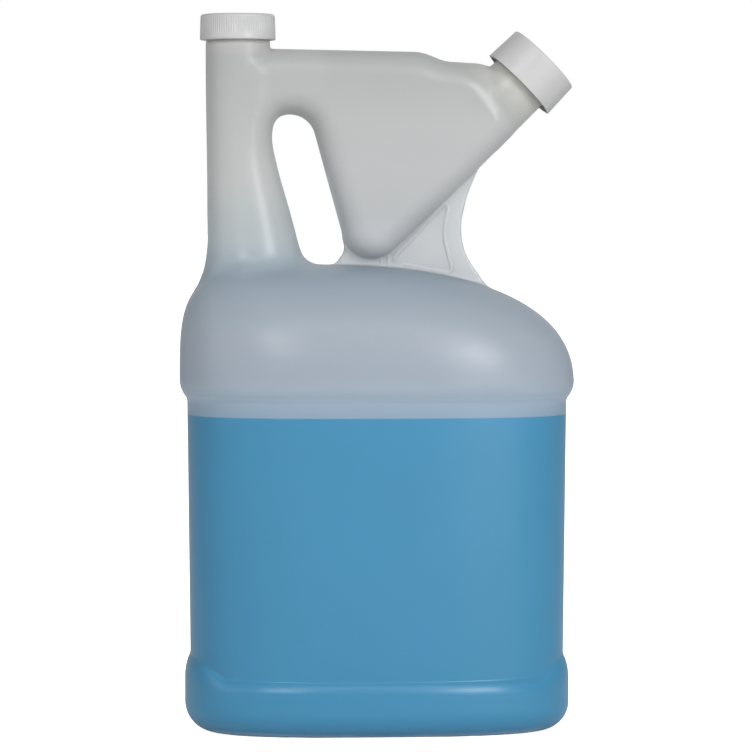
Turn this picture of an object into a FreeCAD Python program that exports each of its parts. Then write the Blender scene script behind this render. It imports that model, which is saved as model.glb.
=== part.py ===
"""Twin-neck tip-and-measure detergent bottle, one US gallon, in millimetres.

A blow-moulded jug with a hollow handle at the rear. Tipped with the rear cap shut, it sends detergent up
the handle and over a bridge into a dosing chamber, which pours from a spout at 45 degrees. The chamber's
floor is pinched shut, so an upright jug keeps one dose in it.

Frame: +Z up, the jug stands on Z = 0, +X points to the spout, and Y = 0 is the mould's parting plane.
"""
import FreeCAD, Part
import math
import os
from FreeCAD import Rotation, Vector

# Body, from the base up. Half widths run along X and half depths along Y.
WALL = 1.2
PLAN_EXPONENT = 2.8          # plan outline, between an ellipse (2) and a rectangle
BASE_HALF_WIDTH = 92.5
BASE_HALF_DEPTH = 57.3
BASE_EDGE_RADIUS = 11.0
BASE_TOP_RADIUS = 28.6       # long curve from the base band into the label panel
BASE_BAND_TOP = 24.0
FOOT_RECESS_HEIGHT = 3.0
FOOT_RECESS_HALF_WIDTH = 70.0
FOOT_RECESS_HALF_DEPTH = 36.0
PANEL_HALF_WIDTH_LOW = 89.9
PANEL_HALF_WIDTH_HIGH = 91.5
PANEL_HALF_DEPTH = 57.0
PANEL_BOTTOM = 22.0
PANEL_TOP = 162.0
SHOULDER_HALF_WIDTH = 94.9
SHOULDER_HALF_DEPTH = 60.6
SHOULDER_EDGE_RADIUS = 11.0
SHOULDER_EDGE_Z = 166.3
DOME_BASE_Z = 163.9
DOME_HEIGHT = 58.8
DOME_CREST_X = -31.5         # the crest sits behind the middle, under the handle's slot
DOME_FRONT_EXPONENT = 2.4    # the front falls away gently
DOME_REAR_EXPONENT = 4.0     # the rear stands up more squarely into the handle

# Handle, bridge, dosing chamber and web.
NECK_X = -66.6
NECK_RADIUS = 15.3
HANDLE_EXPONENT = 2.2
PLATE_HALF_DEPTH = 14.9
PLATE_EDGE_RADIUS = 12.5
CHAMBER_TIP_RADIUS = 14.3
SLOT_TOP_RADIUS = 10.6
WEB_HALF_THICKNESS = 1.8
WEB_PANEL_HALF_THICKNESS = 4.2

# Spout axis: a line at 45 degrees in the parting plane.
SPOUT_ANGLE = 45.0
SPOUT_CAP_TOP = Vector(81.1, 0, 321.6)
SPOUT_ROOT_LENGTH = 46.0

# Finish shared by both necks: 33 mm, single-turn thread of 6 turns per inch.
PITCH = 25.4 / 6
FINISH_HEIGHT = 11.0
FINISH_ROOT_RADIUS = 14.85
FINISH_THREAD_RADIUS = 16.0
FINISH_BORE_RADIUS = 12.4
THREAD_TURNS = 1.15
THREAD_LOW_END = -8.1        # centre of the thread's lower end, with the rim at 0
CAP_THREAD_TURNS = 0.95
CAP_THREAD_LEAD = 0.4        # turns by which a cap's thread starts after the neck's
THREAD_FOOT = 2.3
THREAD_CREST = 1.0
CAP_BORE_RADIUS = 16.35
CAP_THREAD_RADIUS = 15.15
THREAD_BITE = 0.25           # how far a thread's foot sinks into its wall

# Fill cap: one-piece ribbed closure.
FILL_RIM_Z = 340.2
FILL_CAP_TOP = 342.7
FILL_CAP_BOTTOM = 330.2
FILL_CAP_RADIUS = 18.1
FILL_CAP_RIBS = 96
RIB_DEPTH = 0.35
LINER_THICKNESS = 1.0
LINER_RADIUS = 15.8
LINER_GAP = 0.1

# Dosing cap: two shells, pressed and turned.
DOSE_CAP_HEIGHT = 17.4
DOSE_RIM_DEPTH = 6.0         # rim of the neck below the cap's top
OUTER_SHELL_RADIUS_LOW = 19.85
OUTER_SHELL_RADIUS_HIGH = 19.1
OUTER_SHELL_WALL = 1.3
OUTER_SHELL_TOP = 1.3
INNER_SHELL_RADIUS = 17.45
INNER_FLANGE_RADIUS = 18.0
INNER_FLANGE_HEIGHT = 1.2
INNER_SHELL_BOTTOM = 1.6     # above the outer shell's open end
INNER_SHELL_TOP = 1.1
RETAINING_BEAD_RADIUS = 17.65
RETAINING_BEAD_HEIGHT = 0.5
RETAINING_GAP = 0.05         # between the bead and the inner shell's flange at rest
LUG_COUNT = 12
LUG_HEIGHT = 1.15
LUG_WIDTH_DEG = 9.0
LUG_INNER_RADIUS = 9.0
LUG_OUTER_RADIUS = 16.6

# Detergent.
FILL_LEVEL = 150.9
DETERGENT_GAP = 0.05

SPOUT_AXIS = Vector(math.cos(math.radians(SPOUT_ANGLE)), 0, math.sin(math.radians(SPOUT_ANGLE)))


# ---- outlines and lofts

def signed_power(value, exponent):
    return math.copysign(abs(value) ** exponent, value)


def plan_wire(x_rear, x_front, half_depth, z, exponent, count=40):
    """Closed superellipse at height z, between x_rear and x_front."""
    centre = (x_rear + x_front) / 2
    half_width = (x_front - x_rear) / 2
    points = []
    for i in range(count):
        angle = 2 * math.pi * i / count
        x = centre + half_width * signed_power(math.cos(angle), 2 / exponent)
        y = half_depth * signed_power(math.sin(angle), 2 / exponent)
        points.append(Vector(x, y, z))
    curve = Part.BSplineCurve()
    curve.interpolate(Points=points, PeriodicFlag=True)
    return Part.Wire(curve.toShape())


def loft(sections, exponent=PLAN_EXPONENT, ruled=False):
    """Solid through (z, x_rear, x_front, half_depth) sections."""
    wires = [plan_wire(rear, front, depth, z, exponent) for z, rear, front, depth in sections]
    return Part.makeLoft(wires, True, ruled)


def quarter(exponent, u):
    """Height of a unit superellipse quarter at u."""
    return (1 - u ** exponent) ** (1 / exponent)


def rounded_outline(corners):
    """Closed wire in the XZ plane through (x, z, radius) corners, each an arc, or sharp at radius 0."""
    spots = [Vector(x, 0, z) for x, z, _ in corners]
    starts = []
    ends = []
    edges = []
    for i, (_, _, radius) in enumerate(corners):
        corner = spots[i]
        back = (spots[i - 1] - corner).normalize()
        ahead = (spots[(i + 1) % len(spots)] - corner).normalize()
        half_angle = back.getAngle(ahead) / 2
        reach = radius / math.tan(half_angle)
        starts.append(corner + back * reach)
        ends.append(corner + ahead * reach)
        if radius:
            middle = corner + (back + ahead).normalize() * (radius / math.sin(half_angle) - radius)
            edges.append(Part.Arc(starts[-1], middle, ends[-1]).toShape())
    for i, end in enumerate(ends):
        edges.append(Part.LineSegment(end, starts[(i + 1) % len(starts)]).toShape())
    return Part.Wire(Part.__sortEdges__(edges))


def slab(face, half_thickness):
    """Extrudes a face in the parting plane to both sides of it."""
    raised = face.copy()
    raised.translate(Vector(0, -half_thickness, 0))
    return raised.extrude(Vector(0, 2 * half_thickness, 0))


# ---- body of the jug, each piece drawn at a given distance inside its outer skin

def base_band(inset):
    """Foot of the jug: rounded bottom edge, a short upright band and a long curve inwards."""
    sections = []
    for step in range(7):
        angle = math.radians(15 * step)
        radius = BASE_EDGE_RADIUS - inset
        inward = BASE_EDGE_RADIUS - radius * math.sin(angle)
        sections.append((BASE_EDGE_RADIUS - radius * math.cos(angle), inward))
    for step in range(6):
        angle = math.radians(6 * step)
        radius = BASE_TOP_RADIUS - inset
        inward = BASE_TOP_RADIUS - radius * math.cos(angle)
        sections.append((BASE_BAND_TOP + radius * math.sin(angle), inward))
    return loft([(z, inward - BASE_HALF_WIDTH, BASE_HALF_WIDTH - inward, BASE_HALF_DEPTH - inward)
                 for z, inward in sections])


def label_panel(inset):
    """Tall oval panel that widens slightly upwards."""
    low = PANEL_HALF_WIDTH_LOW - inset
    high = PANEL_HALF_WIDTH_HIGH - inset
    depth = PANEL_HALF_DEPTH - inset
    return loft([(PANEL_BOTTOM, -low, low, depth), (PANEL_TOP, -high, high, depth)], ruled=True)


def shoulder(inset):
    """Overhanging shoulder: rounded lower edge, then a dome whose crest runs along the parting plane."""
    sections = []
    edge_radius = SHOULDER_EDGE_RADIUS - inset
    for degrees in (64, 48, 32, 16, 0):
        angle = math.radians(degrees)
        inward = SHOULDER_EDGE_RADIUS - edge_radius * math.cos(angle)
        half_width = SHOULDER_HALF_WIDTH - inward
        z = SHOULDER_EDGE_Z - edge_radius * math.sin(angle)
        sections.append((z, -half_width, half_width, SHOULDER_HALF_DEPTH - inward))
    height = DOME_HEIGHT - inset
    front_reach = SHOULDER_HALF_WIDTH - inset - DOME_CREST_X
    rear_reach = SHOULDER_HALF_WIDTH - inset + DOME_CREST_X
    for u in (0.2, 0.34, 0.48, 0.6, 0.71, 0.8, 0.87, 0.925, 0.965, 0.99):
        across = quarter(DOME_FRONT_EXPONENT, u)
        rear = DOME_CREST_X - rear_reach * quarter(DOME_REAR_EXPONENT, u)
        front = DOME_CREST_X + front_reach * across
        sections.append((DOME_BASE_Z + height * u, rear, front, (SHOULDER_HALF_DEPTH - inset) * across))
    return loft(sections)


def handle(inset):
    """Hollow handle that rises from the shoulder into the rear neck."""
    sections = [(198.0, -86.0, -24.0, 27.0), (214.0, -83.0, -31.5, 22.5), (229.0, -81.2, -36.0, 19.2),
                (250.0, -81.1, -41.9, 17.0), (270.0, -81.3, -47.6, 15.9), (284.0, -81.5, -51.0, NECK_RADIUS),
                (306.0, -81.9, -51.3, NECK_RADIUS), (329.0, -81.9, -51.3, NECK_RADIUS)]
    inner = [(z, rear + inset, front - inset, depth - inset) for z, rear, front, depth in sections]
    return loft(inner, exponent=HANDLE_EXPONENT)


def plate_corners():
    """Side outline of the bridge and the dosing chamber, forwards from the rear neck."""
    return [(-68.0, 325.9, 0), (22.5, 324.2, 22.0), (33.5, 319.9, 16.0), (56.5, 318.6, 16.0),
            (72.0, 303.2, 14.0), (72.0, 291.0, 14.0), (48.3, 267.3, 60.0), (-9.7, 213.15, CHAMBER_TIP_RADIUS),
            (-31.9, 294.9, SLOT_TOP_RADIUS), (-47.6, 293.4, SLOT_TOP_RADIUS), (-55.0, 273.0, 0),
            (-68.0, 273.0, 0)]


def plate(inset):
    """Bridge and dosing chamber: a flat pillow with rounded edges."""
    outline = Part.Face(rounded_outline(plate_corners()))
    if inset:
        outline = outline.makeOffset2D(-inset)
    half_depth = PLATE_HALF_DEPTH - inset
    block = slab(outline, half_depth)
    rims = [edge for edge in block.Edges if lies_at_depth(edge, half_depth) and edge.CenterOfMass.x > -58]
    return block.makeFillet(PLATE_EDGE_RADIUS - inset, rims)


def lies_at_depth(edge, depth):
    """True for an edge wholly in one of the two planes at that distance from the parting plane."""
    ends_in_plane = all(abs(abs(vertex.Y) - depth) < 0.01 for vertex in edge.Vertexes)
    return ends_in_plane and abs(edge.CenterOfMass.y) > depth - 0.01


def spout_frame(distance):
    """Placement whose Z runs up the spout's axis, at a distance below the dosing cap's top."""
    return FreeCAD.Placement(SPOUT_CAP_TOP - SPOUT_AXIS * distance, Rotation(Vector(0, 0, 1), SPOUT_AXIS))


def spout(radius, from_distance, to_distance):
    """Cylinder on the spout's axis, between two distances below the dosing cap's top."""
    tube = Part.makeCylinder(radius, from_distance - to_distance)
    tube.Placement = spout_frame(from_distance)
    return tube


def foot_recess(inset):
    """Push-up in the base, so that the jug stands on a rim."""
    width = FOOT_RECESS_HALF_WIDTH + inset
    depth = FOOT_RECESS_HALF_DEPTH + inset
    mouth = (-1.0, -width - 2, width + 2, depth + 2)
    roof = (FOOT_RECESS_HEIGHT + inset, 8 - width, width - 8, depth - 8)
    return loft([mouth, roof], exponent=2.4, ruled=True)


def vessel(inset):
    """Whole jug as one solid, at a distance inside its outer skin."""
    pieces = [label_panel(inset), shoulder(inset), handle(inset), plate(inset),
              spout(NECK_RADIUS - inset, SPOUT_ROOT_LENGTH, DOSE_RIM_DEPTH + FINISH_HEIGHT)]
    return base_band(inset).fuse(pieces).cut(foot_recess(inset))


def web():
    """Pinched web between the chamber, the shoulder and the open front, with a raised panel on it."""
    top = Vector(48.3, 0, 267.8)
    waist = Vector(41.4, 0, 239.1)
    foot = Vector(60.0, 0, 208.6)
    edges = [Part.Arc(top, Vector(43.4, 0, 254.2), waist).toShape(),
             Part.Arc(waist, Vector(45.4, 0, 221.5), foot).toShape()]
    back = [foot, Vector(30, 0, 203), Vector(-24, 0, 214), Vector(-19.5, 0, 222.4), Vector(-15.8, 0, 228.5),
            Vector(-15.8, 0, 234), Vector(-8, 0, 243), Vector(38, 0, 275), top]
    edges += [Part.LineSegment(a, b).toShape() for a, b in zip(back, back[1:])]
    sheet = slab(Part.Face(Part.Wire(edges)), WEB_HALF_THICKNESS)
    panel_outline = rounded_outline([(10.0, 222.0, 2.5), (35.3, 258.0, 2.5), (41.0, 214.0, 2.5)])
    panel = slab(Part.Face(panel_outline), WEB_PANEL_HALF_THICKNESS)
    rims = [edge for edge in panel.Edges if lies_at_depth(edge, WEB_PANEL_HALF_THICKNESS)]
    return sheet.fuse(panel.makeFillet(2.2, rims))


# ---- threads

def thread(foot_radius, crest_radius, centre_z, turns, start_deg=0):
    """Right-hand thread on the Z axis. It stands outwards if the crest is wider than the foot."""
    into_wall = THREAD_BITE if crest_radius < foot_radius else -THREAD_BITE
    root = foot_radius + into_wall
    profile = Part.makePolygon([Vector(root, 0, -THREAD_FOOT / 2), Vector(crest_radius, 0, -THREAD_CREST / 2),
                                Vector(crest_radius, 0, THREAD_CREST / 2), Vector(root, 0, THREAD_FOOT / 2),
                                Vector(root, 0, -THREAD_FOOT / 2)])
    helix = Part.makeHelix(PITCH, PITCH * turns, root)
    ridge = Part.Wire(helix).makePipeShell([Part.Wire(profile)], True, True)
    ridge.translate(Vector(0, 0, centre_z))
    ridge.rotate(Vector(0, 0, 0), Vector(0, 0, 1), start_deg)
    return ridge


def finish():
    """Neck finish with its rim at Z = 0, standing downwards from it."""
    barrel = Part.makeCylinder(FINISH_ROOT_RADIUS, FINISH_HEIGHT + 1, Vector(0, 0, -FINISH_HEIGHT - 1))
    rim = [edge for edge in barrel.Edges if edge.BoundBox.ZMin > -0.01 and edge.BoundBox.ZMax < 0.01]
    barrel = barrel.makeFillet(0.6, rim)
    return barrel.fuse(thread(FINISH_ROOT_RADIUS, FINISH_THREAD_RADIUS, THREAD_LOW_END, THREAD_TURNS))


def finish_bore():
    return Part.makeCylinder(FINISH_BORE_RADIUS, FINISH_HEIGHT + 8, Vector(0, 0, -FINISH_HEIGHT - 7))


def at_rear_neck(shape):
    moved = shape.copy()
    moved.Placement = FreeCAD.Placement(Vector(NECK_X, 0, FILL_RIM_Z), Rotation())
    return moved


def at_spout(shape):
    """Puts a shape drawn on the Z axis, with the neck's rim at Z = 0, on the spout."""
    moved = shape.copy()
    moved.Placement = spout_frame(DOSE_RIM_DEPTH)
    return moved


# ---- the jug and what it holds

def bottle():
    """Outer skin with the hollow as an inner skin, opened through both necks."""
    outer = vessel(0).fuse([web(), at_rear_neck(finish()), at_spout(finish())])
    hollow = vessel(WALL)
    skins = Part.Compound([outer.Solids[0].Shells[0], hollow.Solids[0].Shells[0].reversed()])
    return Part.Solid(skins).cut([at_rear_neck(finish_bore()), at_spout(finish_bore())])


def detergent():
    """Detergent in the main reservoir, up to its level."""
    inset = WALL + DETERGENT_GAP
    below = Part.makeBox(300, 200, FILL_LEVEL, Vector(-150, -100, 0))
    return base_band(inset).fuse(label_panel(inset)).cut(foot_recess(inset)).common(below)


# ---- fill cap

def ribbed_wire(radius, ribs, depth, z):
    """Outline of a cap with fine vertical ribs."""
    points = []
    for i in range(ribs):
        for fraction, rise in ((0.0, 0.0), (0.45, 0.0), (0.6, -depth), (0.85, -depth)):
            angle = 2 * math.pi * (i + fraction) / ribs
            points.append(Vector((radius + rise) * math.cos(angle), (radius + rise) * math.sin(angle), z))
    return Part.makePolygon(points + points[:1])


def cap_thread():
    """Inside thread of a cap, half a pitch under the neck's thread."""
    low_end = THREAD_LOW_END + PITCH * (CAP_THREAD_LEAD - 0.5)
    return thread(CAP_BORE_RADIUS, CAP_THREAD_RADIUS, low_end, CAP_THREAD_TURNS, 360 * CAP_THREAD_LEAD)


def fill_cap():
    """Drawn with the neck's rim at Z = 0."""
    top = FILL_CAP_TOP - FILL_RIM_Z
    bottom = FILL_CAP_BOTTOM - FILL_RIM_Z
    under_top = LINER_GAP * 2 + LINER_THICKNESS
    skirt = Part.Face(ribbed_wire(FILL_CAP_RADIUS, FILL_CAP_RIBS, RIB_DEPTH, bottom + 3.2))
    ribs = skirt.extrude(Vector(0, 0, top - bottom - 4.4))
    band = Part.makeCylinder(FILL_CAP_RADIUS + 0.05, 3.2, Vector(0, 0, bottom))
    crown = Part.makeCylinder(FILL_CAP_RADIUS - 0.15, 1.2, Vector(0, 0, top - 1.2))
    crown_edge = [edge for edge in crown.Edges if edge.BoundBox.ZMin > top - 0.01]
    crown = crown.makeFillet(1.0, crown_edge)
    hollow = Part.makeCylinder(CAP_BORE_RADIUS, under_top - bottom, Vector(0, 0, bottom))
    shell = band.fuse([ribs, crown]).cut(hollow)
    return shell.fuse(cap_thread())


def liner():
    """Foam sealing disc, lying on the neck's rim at Z = 0."""
    return Part.makeCylinder(LINER_RADIUS, LINER_THICKNESS, Vector(0, 0, LINER_GAP))


# ---- dosing cap

def lug_ring(low, high, first_angle):
    """Ring of drive lugs that the two shells share when the cap is pressed."""
    up = Vector(0, 0, 1)
    sector = Part.makeCylinder(LUG_OUTER_RADIUS, high - low, Vector(0, 0, low), up, LUG_WIDTH_DEG)
    lug = sector.cut(Part.makeCylinder(LUG_INNER_RADIUS, high - low, Vector(0, 0, low)))
    ring = []
    for i in range(LUG_COUNT):
        copy = lug.copy()
        copy.rotate(Vector(0, 0, 0), Vector(0, 0, 1), first_angle + 360 * i / LUG_COUNT)
        ring.append(copy)
    return ring


def dose_cap_inner():
    """Threaded inner shell, drawn with the neck's rim at Z = 0."""
    bottom = DOSE_RIM_DEPTH - DOSE_CAP_HEIGHT + INNER_SHELL_BOTTOM
    under_top = LINER_GAP * 2 + LINER_THICKNESS
    top = under_top + INNER_SHELL_TOP
    skirt = Part.makeCylinder(INNER_SHELL_RADIUS, top - bottom, Vector(0, 0, bottom))
    flange = Part.makeCylinder(INNER_FLANGE_RADIUS, INNER_FLANGE_HEIGHT, Vector(0, 0, bottom))
    hollow = Part.makeCylinder(CAP_BORE_RADIUS, under_top - bottom, Vector(0, 0, bottom))
    lugs = lug_ring(top - 0.3, top + LUG_HEIGHT, 0)
    return skirt.fuse([flange] + lugs).cut(hollow).fuse(cap_thread())


def dose_cap_outer():
    """Smooth outer shell, drawn with the neck's rim at Z = 0."""
    bottom = DOSE_RIM_DEPTH - DOSE_CAP_HEIGHT
    top = DOSE_RIM_DEPTH
    ceiling = top - OUTER_SHELL_TOP
    body = Part.makeCone(OUTER_SHELL_RADIUS_LOW, OUTER_SHELL_RADIUS_HIGH, top - bottom, Vector(0, 0, bottom))
    top_edge = [edge for edge in body.Edges if edge.BoundBox.ZMin > top - 0.01]
    body = body.makeFillet(1.0, top_edge)
    hollow = Part.makeCone(OUTER_SHELL_RADIUS_LOW - OUTER_SHELL_WALL,
                           OUTER_SHELL_RADIUS_HIGH - OUTER_SHELL_WALL,
                           ceiling - bottom, Vector(0, 0, bottom))
    shell = body.cut(hollow)
    bead_top = bottom + INNER_SHELL_BOTTOM - RETAINING_GAP
    bead = Part.makeCylinder(OUTER_SHELL_RADIUS_LOW - 0.5, RETAINING_BEAD_HEIGHT,
                             Vector(0, 0, bead_top - RETAINING_BEAD_HEIGHT))
    bead = bead.cut(Part.makeCylinder(RETAINING_BEAD_RADIUS, 10, Vector(0, 0, bottom - 1)))
    lugs = lug_ring(ceiling - LUG_HEIGHT, ceiling + 0.3, 180 / LUG_COUNT)
    return shell.fuse([bead] + lugs)


def write(name, shape):
    solids = shape.Solids
    result = solids[0] if len(solids) == 1 else Part.Compound(solids)
    result.exportStep(os.path.join("parts", name + ".step"))
    box = result.BoundBox
    print(f"{name}: {len(solids)} solid, {result.Volume / 1000:.2f} ml, valid {result.isValid()}, "
          f"X {box.XMin:.1f}..{box.XMax:.1f} Y {box.YMin:.1f}..{box.YMax:.1f} "
          f"Z {box.ZMin:.1f}..{box.ZMax:.1f}")


def main():
    os.makedirs("parts", exist_ok=True)
    write("bottle", bottle())
    write("detergent", detergent())
    write("fill_cap", at_rear_neck(fill_cap()))
    write("fill_cap_liner", at_rear_neck(liner()))
    write("dosing_cap_inner", at_spout(dose_cap_inner()))
    write("dosing_cap_outer", at_spout(dose_cap_outer()))
    write("dosing_cap_liner", at_spout(liner()))


main()
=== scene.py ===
import math

import bmesh
import bpy
import numpy as np
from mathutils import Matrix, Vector


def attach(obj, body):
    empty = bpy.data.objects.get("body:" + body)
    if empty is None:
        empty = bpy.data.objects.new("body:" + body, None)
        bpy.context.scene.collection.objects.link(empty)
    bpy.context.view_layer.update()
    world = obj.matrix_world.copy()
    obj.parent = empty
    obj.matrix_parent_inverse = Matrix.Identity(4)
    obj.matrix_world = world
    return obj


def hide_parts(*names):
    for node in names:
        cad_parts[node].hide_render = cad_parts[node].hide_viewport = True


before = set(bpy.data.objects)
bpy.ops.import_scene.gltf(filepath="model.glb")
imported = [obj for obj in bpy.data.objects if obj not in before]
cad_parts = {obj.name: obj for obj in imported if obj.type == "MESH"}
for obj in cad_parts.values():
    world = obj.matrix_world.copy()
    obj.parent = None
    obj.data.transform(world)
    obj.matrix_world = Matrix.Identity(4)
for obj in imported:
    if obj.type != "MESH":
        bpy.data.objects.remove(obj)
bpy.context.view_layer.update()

MM = 0.001

# ---------------------------------------------------------------------------
# Dimensions, in millimetres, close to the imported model's
# ---------------------------------------------------------------------------
WALL = 1.2
FINISH_WALL = dict(extra=1.2, neck_z=331.5, spout_along=-9.0, softness=0.6, neck_reach=18, spout_reach=16)
PLAN_N = 2.8                 # plan outline, between an ellipse (2) and a rectangle
BASE = dict(half_width=92.2, half_depth=57.3, edge=12.5,
            top_side=28.6, top_front=9.0, band_side=24.0, band_front=20.3)
LEDGE_TURN = (72.0, 92.5)    # |x| over which the base ledge goes from its front shape to its side shape
PANEL = dict(low=89.4, high=90.9, depth_low=54.4, depth_high=57.0, bottom=22.0, top=162.0, overlap=2)
SHOULDER = dict(half_width=94.5, half_depth=60.6, edge=12.0, edge_z=167.3)
DOME = dict(z=163.9, height=58.8, crest=-31.5, front=2.4, rear=4.0)   # crest is an x, front and rear powers
PUSH_UP = dict(half_width=72.0, half_depth=38.0, slope=10.0, height=3.0, exponent=2.4)
NECK_X = -66.6
NECK_R = 15.3
FINISH_R = 14.85
THREAD_R = 16.0
THREAD_LOW = -8.1            # lower end of each thread, from the rim
THREAD_TURNS = 1.15
FILL_RIM = 340.2
NECK_TOP = 329.2
FINISH_STEP = dict(neck=0.2, spout=0.25)    # softness of the step down to each finish
SPOUT_DIR = np.array([math.sqrt(0.5), 0.0, math.sqrt(0.5)])
SPOUT_CAP_TOP = np.array([81.1, 0.0, 321.6])
SPOUT_RIM = SPOUT_CAP_TOP - SPOUT_DIR * 6.0
SPOUT_FINISH = 11.0          # length of the spout's threaded finish
SPOUT_LENGTH = 42.0
SPOUT_LIFT = dict(by=0.5, between=(9, 12))           # distances back from the rim
SPOUT_FLATTENING = dict(by=0.16, between=(15, 34))
RIM_OVERRUN = 3              # how far the net runs past each rim before it is cut
RIMS = [  # centre, direction, reach of the cut
    (np.array([NECK_X, 0, FILL_RIM]), np.array([0, 0, 1.0]), 24), (SPOUT_RIM, SPOUT_DIR, 22)]
PITCH = 25.4 / 6
PLATE_DEPTH = 14.9
PLATE_EDGE = 12.5
LEVEL = 151.3
HANDLE = [  # height, rear edge, front edge, half depth
    (190.0, -88.0, -20.0, 29.0), (198.0, -86.5, -24.0, 27.0), (209.0, -87.6, -29.6, 24.0),
    (214.0, -85.2, -32.0, 22.5), (220.0, -82.9, -34.0, 21.0), (229.0, -81.3, -36.7, 19.2),
    (250.0, -81.0, -42.5, 17.0), (270.0, -81.1, -48.1, 15.9), (284.0, -81.3, -51.0, NECK_R),
    (306.0, -81.6, -51.3, NECK_R), (350.0, -81.6, -51.3, NECK_R)]
HANDLE_N = 2.15
HANDLE_FOOT = 196            # the handle ends inside the dome
PLATE_CORNERS = [  # x, z, corner radius: bridge, chamber and the slot's upper end
    (-68.0, 326.4, 0), (21.6, 324.7, 22.0), (32.8, 320.2, 16.0), (54.0, 319.1, 16.0), (67.5, 305.6, 15.0),
    (67.5, 287.25, 12.0), (48.3, 268.05, 60.0), (-9.7, 213.3, 14.3), (-32.3, 295.6, 12.5),
    (-49.3, 294.1, 10.6), (-57.0, 273.0, 0), (-68.0, 273.0, 0)]
FACE_SLOPE = dict(x=40.1, z=311.7, nx=0.795, nz=0.606, length=12.0, drop=2.4)   # start, direction, size
WEB_CORNERS = [
    (48.3, 267.8, 0), (43.6, 256.5, 12), (40.4, 243.5, 30), (41.2, 229.0, 30), (56.0, 208.0, 0),
    (30.0, 200.0, 0), (-26.0, 212.0, 0), (-20.5, 221.5, 3), (-14.9, 229.5, 7), (-16.6, 238.0, 4),
    (-8.0, 243.0, 0), (38.0, 275.0, 0)]
WEB_HALF = 1.9
TRIANGLE = [(6.2, 223.9, 2.5), (35.4, 255.0, 1.5), (32.2, 237.0, 22), (37.0, 218.2, 2.0)]
TRIANGLE_BEAD = dict(radius=1.6, sink=0.75, points=120)
SHORT_BEADS = dict(xs=(2.2, 5.6), top=230.0, bottom=219.0, radius=1.2, sink=0.45, points=14)
BLEND = dict(base_panel=0.4, shoulder=1.2, push_up_roof=2.0, push_up_mouth=1.5, spout=1.2, web_edge=1.4,
             web_dome=2.5, web_chamber=1.6, dome=0.5, whole=1.2)
HANDLE_BLEND = dict(rear=0.8, front=9.0, x=(-82, -66))
BRIDGE_BLEND = dict(slot=6.0, top=0.8, z=(315, 323))


# ---------------------------------------------------------------------------
# Distance fields: negative inside, in millimetres
# ---------------------------------------------------------------------------
def smin(a, b, k):
    """Joins two shapes with a fillet about k wide."""
    h = np.maximum(k - np.abs(a - b), 0.0) / k
    return np.minimum(a, b) - h * h * k * 0.25


def smax(a, b, k):
    """What two shapes have in common, with its edge rounded over about k."""
    return -smin(-a, -b, k)


def lerp(a, b, t):
    return a + (b - a) * t


def rise(value, start, end):
    """0 at start, 1 at end, and held beyond them."""
    return np.clip((value - start) / (end - start), 0, 1)


def ease(t):
    """Starts and ends a rise gently."""
    return t * t * (3 - 2 * t)


def soft_step(u):
    """Logistic step from 0 to 1."""
    return 1 / (1 + np.exp(-np.clip(u, -60, 60)))


def superplan(x, y, a, b, n):
    """1 on the outline of a superellipse, less inside it."""
    return (np.abs(x / a) ** n + np.abs(y / b) ** n) ** (1.0 / n)


def near_distance(raw):
    """Turns any smooth field into one that is close to a distance near its surface."""
    step = 0.04

    def field(x, y, z):
        gx = (raw(x + step, y, z) - raw(x - step, y, z)) / (2 * step)
        gy = (raw(x, y + step, z) - raw(x, y - step, z)) / (2 * step)
        gz = (raw(x, y, z + step) - raw(x, y, z - step)) / (2 * step)
        return raw(x, y, z) / np.sqrt(gx * gx + gy * gy + gz * gz + 1e-9)

    return field


def hermite_table(rows):
    """Smooth curves through table rows of (z, value, value, ...)."""
    t = np.array(rows, float)
    z, v = t[:, 0], t[:, 1:]
    slopes = np.gradient(v, z, axis=0)

    def at(q):
        q = np.clip(q, z[0], z[-1] - 1e-6)
        i = np.clip(np.searchsorted(z, q, side="right") - 1, 0, len(z) - 2)
        h = z[i + 1] - z[i]
        s = (q - z[i]) / h
        h00 = (1 + 2 * s) * (1 - s) ** 2
        h10 = s * (1 - s) ** 2
        h01 = s * s * (3 - 2 * s)
        h11 = s * s * (s - 1)
        return [h00 * v[i, c] + h10 * h * slopes[i, c] + h01 * v[i + 1, c] + h11 * h * slopes[i + 1, c]
                for c in range(v.shape[1])]

    return at


def outline(corners, step_deg=4.0):
    """Polyline in XZ with its corners rounded by tangent arcs."""
    pts = []
    n = len(corners)
    for i, (x, z, r) in enumerate(corners):
        c = np.array([x, z])
        if not r:
            pts.append(c)
            continue
        back = np.array(corners[i - 1][:2]) - c
        ahead = np.array(corners[(i + 1) % n][:2]) - c
        back, ahead = back / np.linalg.norm(back), ahead / np.linalg.norm(ahead)
        half = math.acos(float(np.clip(back @ ahead, -1, 1))) / 2
        bis = (back + ahead) / np.linalg.norm(back + ahead)
        centre = c + bis * r / math.sin(half)
        reach = r / math.tan(half)
        p0, p1 = c + back * reach, c + ahead * reach
        a0 = math.atan2(*(p0 - centre)[::-1])
        turn = math.atan2(*(p1 - centre)[::-1]) - a0
        turn = (turn + math.pi) % (2 * math.pi) - math.pi
        steps = max(2, int(abs(math.degrees(turn)) / step_deg))
        for k in range(steps + 1):
            a = a0 + turn * k / steps
            pts.append(centre + r * np.array([math.cos(a), math.sin(a)]))
    return np.array(pts)


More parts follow.
